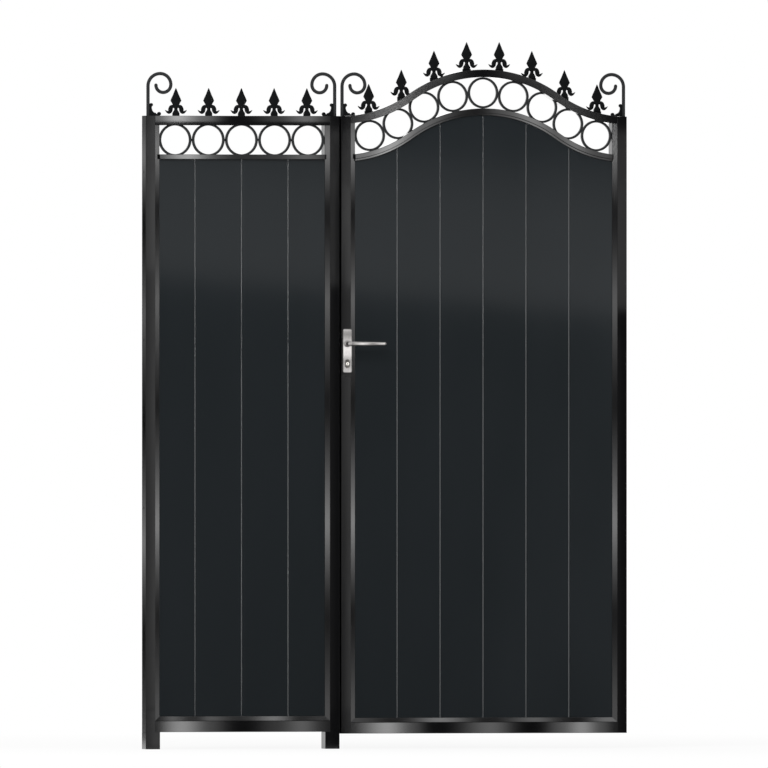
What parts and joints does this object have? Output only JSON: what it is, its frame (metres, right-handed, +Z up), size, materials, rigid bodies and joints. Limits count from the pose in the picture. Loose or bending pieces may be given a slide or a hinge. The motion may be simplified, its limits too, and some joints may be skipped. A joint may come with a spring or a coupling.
{
  "type": "garden side gate with fixed side panel",
  "caption": "Bell-arched aluminium gate leaf beside a fixed panel on two legs, boarded, with rings, spear finials, scrolled crooks, lever latch and rear butt hinges.",
  "frame": {"origin": "on the ground under the middle of the whole width, halfway through the frame's depth", "axes": "+X to the right seen from the front, where the hinges are; +Y to the rear, the way the leaf opens; +Z up"},
  "size_m": [1.563, 0.152, 2.2352],
  "materials": {
    "black_powder_coat": "gloss",
    "board_powder_coat": "satin",
    "black_cast": "satin",
    "hinge_steel": "satin",
    "satin_stainless": "satin",
    "zinc_steel": "satin",
    "lock_nickel": "satin",
    "black_nylon": "matte"
  },
  "bodies": {
    "fixed_frame": {"left_post": "black_powder_coat", "right_post": "black_powder_coat", "side_top_rail": "black_powder_coat", "side_ring_rail": "black_powder_coat", "side_bottom_rail": "black_powder_coat", "left_leg": "black_powder_coat", "right_leg": "black_powder_coat", "post_caps": "black_powder_coat", "side_rear_beads": "black_powder_coat", "side_board_1": "board_powder_coat", "side_board_2": "board_powder_coat", "side_board_3": "board_powder_coat", "side_board_4": "board_powder_coat", "side_rings": "black_cast", "side_ring_collars": "black_cast", "side_finials": "black_cast", "side_crooks": "black_cast", "side_brackets": "black_cast", "leg_plugs": "black_nylon", "hinge_washers": "black_nylon", "keep": "satin_stainless", "keep_screws": "satin_stainless", "hinge_pins": "satin_stainless", "upper_wall_plate": "hinge_steel", "lower_wall_plate": "hinge_steel"},
    "gate_leaf": {"lock_stile": "black_powder_coat", "hinge_stile": "black_powder_coat", "leaf_top_rail": "black_powder_coat", "leaf_ring_rail": "black_powder_coat", "leaf_bottom_rail": "black_powder_coat", "leaf_rear_beads": "black_powder_coat", "stile_caps": "black_powder_coat", "leaf_board_1": "board_powder_coat", "leaf_board_2": "board_powder_coat", "leaf_board_3": "board_powder_coat", "leaf_board_4": "board_powder_coat", "leaf_board_5": "board_powder_coat", "leaf_board_6": "board_powder_coat", "leaf_rings": "black_cast", "leaf_finials": "black_cast", "leaf_crooks": "black_cast", "leaf_brackets": "black_cast", "upper_leaf_plate": "hinge_steel", "lower_leaf_plate": "hinge_steel", "hinge_screws": "satin_stainless", "lock_faceplate": "satin_stainless", "lock_screws": "satin_stainless", "front_plate": "satin_stainless", "rear_plate": "satin_stainless", "lock_case": "zinc_steel", "plate_bolts": "zinc_steel", "cylinder_body": "lock_nickel"},
    "lever_set": {"front_lever": "satin_stainless", "rear_lever": "satin_stainless", "spindle": "zinc_steel", "follower": "zinc_steel"},
    "latch_bolt": {"latch_bolt": "zinc_steel"},
    "dead_bolt": {"dead_bolt": "zinc_steel"},
    "cylinder_plug": {"cylinder_plug": "lock_nickel"}
  },
  "joints": [
    {"name": "gate_hinge", "type": "hinge", "parent": "fixed_frame", "child": "gate_leaf", "pos_m": [0.7725, 0.04, 1], "axis": [0, 0, -1], "range_deg": [0, 90]},
    {"name": "lever_turn", "type": "hinge", "parent": "gate_leaf", "child": "lever_set", "pos_m": [-0.1325, 0, 1.28], "axis": [0, 1, 0], "range_deg": [0, 45], "stiffness_Nm_per_rad": 1.2, "springref_deg": -28.65},
    {"name": "latch_slide", "type": "slide", "parent": "gate_leaf", "child": "latch_bolt", "axis": [1, 0, 0], "range_m": [0, 0.0115]},
    {"name": "key_turn", "type": "hinge", "parent": "gate_leaf", "child": "cylinder_plug", "pos_m": [-0.1325, 0, 1.217], "axis": [0, 1, 0], "range_deg": [0, 360]},
    {"name": "dead_slide", "type": "slide", "parent": "gate_leaf", "child": "dead_bolt", "axis": [-1, 0, 0], "range_m": [0, 0.014]}
  ],
  "couplings": [
    {"joint": "latch_slide", "follows": "lever_turn", "m_per_rad": 0.01464},
    {"joint": "key_turn", "follows": "dead_slide", "rad_per_m": 448.79}
  ]
}
